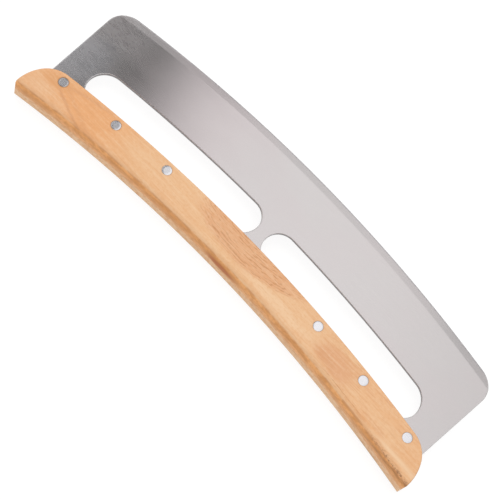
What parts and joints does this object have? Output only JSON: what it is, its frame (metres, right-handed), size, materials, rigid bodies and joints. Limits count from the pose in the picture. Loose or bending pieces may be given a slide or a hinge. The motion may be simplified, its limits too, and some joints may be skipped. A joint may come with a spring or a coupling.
{
  "type": "rocking pizza knife",
  "caption": "Rocking pizza knife: a long arched steel blade with finger slots, its tang held between curved wooden handle scales by flush two-part rivets.",
  "frame": {"origin": "the middle of the knife's length and depth, on the outer face of the back scale", "axes": "+X along the knife, +Y across it towards the cutting edge, +Z from the back scale to the front scale"},
  "size_m": [0.35, 0.11, 0.02],
  "materials": {
    "blade_steel": "satin, fine lengthwise grind",
    "handle_wood": "pale reddish-brown wood with a satin clear lacquer",
    "rivet_metal": "ground flush, satin"
  },
  "bodies": {
    "root": {"blade": "blade_steel", "front_scale": "handle_wood", "back_scale": "handle_wood", "rivet_1_socket": "rivet_metal", "rivet_1_pin": "rivet_metal", "rivet_2_socket": "rivet_metal", "rivet_2_pin": "rivet_metal", "rivet_3_socket": "rivet_metal", "rivet_3_pin": "rivet_metal", "rivet_4_socket": "rivet_metal", "rivet_4_pin": "rivet_metal", "rivet_5_socket": "rivet_metal", "rivet_5_pin": "rivet_metal", "rivet_6_socket": "rivet_metal", "rivet_6_pin": "rivet_metal"}
  },
  "joints": []
}
